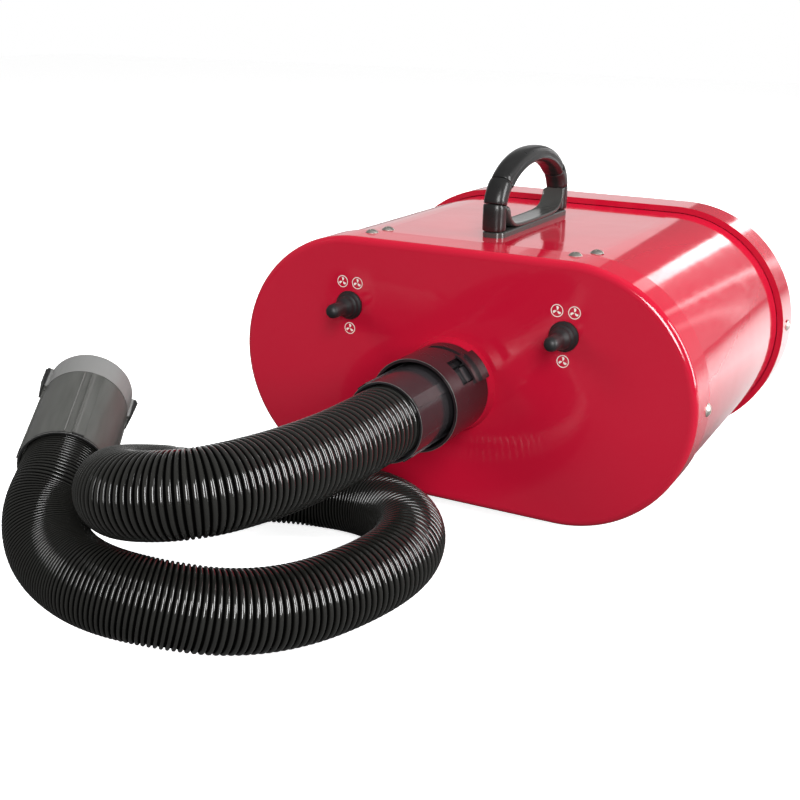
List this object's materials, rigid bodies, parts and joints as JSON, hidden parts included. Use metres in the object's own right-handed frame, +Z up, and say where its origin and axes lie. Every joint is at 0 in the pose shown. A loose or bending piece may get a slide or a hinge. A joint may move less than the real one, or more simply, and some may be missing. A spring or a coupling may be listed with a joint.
{
  "type": "pet dryer",
  "caption": "Twin-blower pet grooming dryer: red sheet-metal housing of obround section, carry handle, two toggle switches, front air outlet and a corrugated hose with latching cuffs.",
  "frame": {"origin": "on the table, under the middle of the housing with its front collar and rear gland", "axes": "+X to the right seen from the front, +Y from the outlet towards the rear grille, +Z up"},
  "size_m": [0.3791, 0.5848, 0.2484],
  "materials": {
    "aluminium_case": "satin",
    "bearing_steel": "polished",
    "black_plastic": "matte",
    "black_rubber": "matte",
    "brass_holder": "satin",
    "chrome_nut": "polished",
    "collar_plastic": "satin",
    "copper_bar": "polished",
    "copper_coil": "satin",
    "core_steel": "matte",
    "cuff_plastic": "satin",
    "foam": "matte",
    "grey_gloss": "gloss",
    "handle_gloss": "gloss",
    "hose_plastic": "gloss",
    "impeller_aluminium": "satin",
    "red_paint": "gloss",
    "screw_steel": "satin",
    "white_plastic": "matte",
    "wire_red": "matte",
    "zinc_steel": "satin"
  },
  "bodies": {
    "housing": {"front_cover": "red_paint", "body_shell": "red_paint", "rear_cover": "red_paint", "rear_spacers": "zinc_steel", "front_cover_screws": "screw_steel", "rear_cover_screws": "screw_steel", "shell_screws": "screw_steel", "rubber_feet": "black_rubber", "foot_screws": "screw_steel", "foot_nuts": "zinc_steel", "cable_gland": "black_plastic", "gland_nut": "black_plastic", "outlet_collar": "collar_plastic", "collar_nut": "black_plastic", "far_cuff": "cuff_plastic", "hose_tube": "hose_plastic", "handle_base": "grey_gloss", "handle_legs": "handle_gloss", "handle_bow": "handle_gloss", "handle_grip_pads": "black_rubber", "handle_screws": "screw_steel", "front_hoop": "zinc_steel", "motor_bulkhead": "zinc_steel", "filter_foam": "foam", "filter_frame": "zinc_steel", "terminal_block": "white_plastic", "noise_capacitor": "white_plastic", "switch_leads": "wire_red", "switch_nuts": "chrome_nut", "left_switch_body": "black_plastic", "left_switch_bush": "chrome_nut", "left_boot_ring": "black_rubber", "left_fan_case": "aluminium_case", "left_motor_frame": "aluminium_case", "left_bearings": "bearing_steel", "left_stator_core": "core_steel", "left_field_coils": "copper_coil", "left_brush_holders": "brass_holder", "right_switch_body": "black_plastic", "right_switch_bush": "chrome_nut", "right_boot_ring": "black_rubber", "right_fan_case": "aluminium_case", "right_motor_frame": "aluminium_case", "right_bearings": "bearing_steel", "right_stator_core": "core_steel", "right_field_coils": "copper_coil", "right_brush_holders": "brass_holder"},
    "left_rotor": {"left_motor_shaft": "bearing_steel", "left_armature": "core_steel", "left_commutator": "copper_bar", "left_impellers": "impeller_aluminium"},
    "left_toggle": {"left_switch_lever": "chrome_nut", "left_lever_sleeve": "black_rubber"},
    "right_rotor": {"right_motor_shaft": "bearing_steel", "right_armature": "core_steel", "right_commutator": "copper_bar", "right_impellers": "impeller_aluminium"},
    "right_toggle": {"right_switch_lever": "chrome_nut", "right_lever_sleeve": "black_rubber"},
    "hose_cuff": {"near_cuff": "cuff_plastic"}
  },
  "joints": [
    {"name": "left_toggle_tilt", "type": "hinge", "parent": "housing", "child": "left_toggle", "pos_m": [-0.0797, -0.1165, 0.144], "axis": [1, 0, 0], "range_deg": [-12, 12]},
    {"name": "left_rotor_spin", "type": "hinge", "parent": "housing", "child": "left_rotor", "pos_m": [-0.079, 0, 0.102], "axis": [0, 1, 0], "continuous": true},
    {"name": "right_toggle_tilt", "type": "hinge", "parent": "housing", "child": "right_toggle", "pos_m": [0.0797, -0.1165, 0.144], "axis": [1, 0, 0], "range_deg": [-12, 12]},
    {"name": "right_rotor_spin", "type": "hinge", "parent": "housing", "child": "right_rotor", "pos_m": [0.079, 0, 0.102], "axis": [0, 1, 0], "continuous": true},
    {"name": "cuff_twist", "type": "hinge", "parent": "housing", "child": "hose_cuff", "pos_m": [0, -0.165, 0.0985], "axis": [0, -1, 0], "range_deg": [0, 12]}
  ]
}
